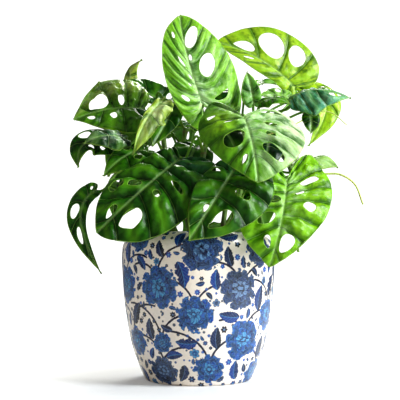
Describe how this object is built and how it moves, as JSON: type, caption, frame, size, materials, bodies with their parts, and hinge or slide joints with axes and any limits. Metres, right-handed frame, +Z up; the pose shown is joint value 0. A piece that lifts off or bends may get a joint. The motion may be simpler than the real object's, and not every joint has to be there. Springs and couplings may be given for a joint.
{
  "type": "potted swiss cheese plant",
  "caption": "Leafy house plant with oval holes in its heart-shaped leaves, growing from soil in a round-shouldered glazed pot with a blue floral pattern.",
  "frame": {"origin": "centre of the pot's flat foot, on the surface that it stands on", "axes": "+Z up along the pot's axis; the front of the plant, as pictured, faces -Y, and +X is to the right seen from the front"},
  "size_m": [0.2945, 0.2131, 0.3696],
  "materials": {
    "glazed_ceramic": "glossy clear glaze over a cream ground with a blue floral pattern",
    "soil": "rough and crumbly",
    "stem": "smooth, with a soft sheen and brown rings",
    "leaf": "waxy and semi-gloss, with light let through",
    "root": "dull and slightly rough"
  },
  "bodies": {
    "root": {"pot": "glazed_ceramic", "soil": "soil", "stem_1": "stem", "stem_2": "stem", "stem_3": "stem", "stem_4": "stem", "stem_5": "stem", "leaf_01": "leaf", "leaf_02": "leaf", "leaf_03": "leaf", "leaf_04": "leaf", "leaf_05": "leaf", "leaf_06": "leaf", "leaf_07": "leaf", "leaf_08": "leaf", "leaf_09": "leaf", "leaf_10": "leaf", "leaf_11": "leaf", "leaf_12": "leaf", "leaf_13": "leaf", "leaf_14": "leaf", "leaf_15": "leaf", "leaf_16": "leaf", "leaf_17": "leaf", "leaf_18": "leaf", "leaf_19": "leaf", "leaf_20": "leaf", "leaf_21": "leaf", "leaf_22": "leaf", "leaf_23": "leaf", "leaf_24": "leaf", "leaf_25": "leaf", "leaf_26": "leaf", "leaf_27": "leaf", "leaf_28": "leaf", "leaf_29": "leaf", "leaf_30": "leaf", "leaf_31": "leaf", "leaf_32": "leaf", "leaf_33": "leaf", "leaf_34": "leaf", "leaf_35": "leaf", "leaf_36": "leaf", "leaf_37": "leaf", "leaf_38": "leaf", "leaf_39": "leaf", "air_root_1": "root", "air_root_2": "root"}
  },
  "joints": []
}
